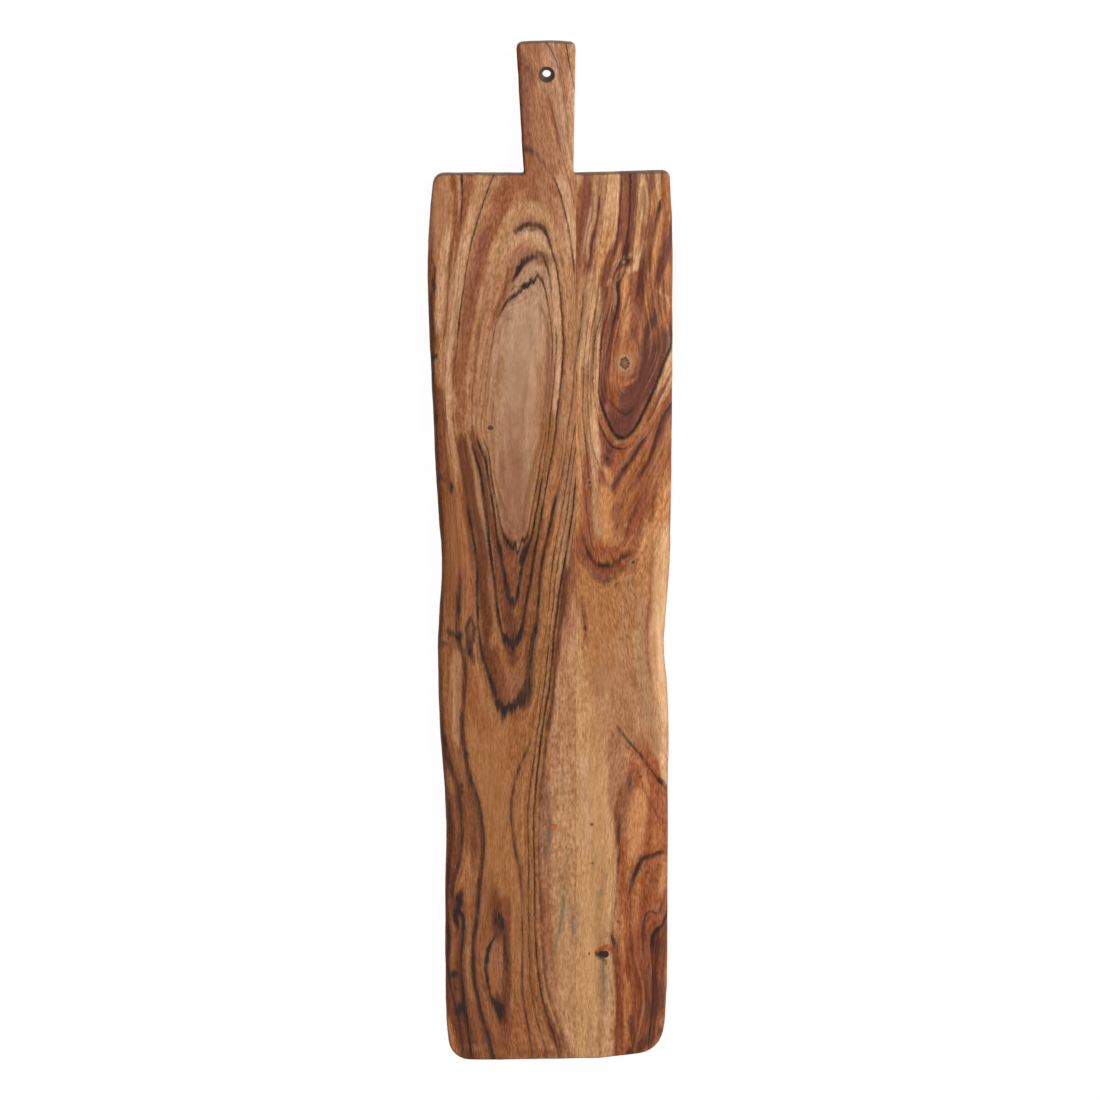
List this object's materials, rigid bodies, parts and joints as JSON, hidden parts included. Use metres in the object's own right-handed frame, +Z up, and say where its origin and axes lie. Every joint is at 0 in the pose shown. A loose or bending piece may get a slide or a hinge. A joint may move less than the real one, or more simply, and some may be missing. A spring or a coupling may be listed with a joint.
{
  "type": "paddle serving board",
  "caption": "Long wooden paddle board for serving food, with natural outer edges, a straight glued seam and a short handle with a hanging hole.",
  "frame": {"origin": "centre of the board's underside, on the surface that it lies on", "axes": "+Y along the board towards the handle tip, +Z up through the serving face, +X across to the narrower stave"},
  "size_m": [0.19, 0.8, 0.018],
  "materials": {
    "handle_stave_wood": "oiled acacia, light brown with dark growth lines",
    "side_stave_wood": "oiled acacia, redder, with a pale sapwood band",
    "cured_glue": "cured wood glue, matt brown",
    "knot_resin": "dark resin, satin"
  },
  "bodies": {
    "root": {"handle_stave": "handle_stave_wood", "side_stave": "side_stave_wood", "glue_line": "cured_glue", "knot_fill": "knot_resin"}
  },
  "joints": []
}
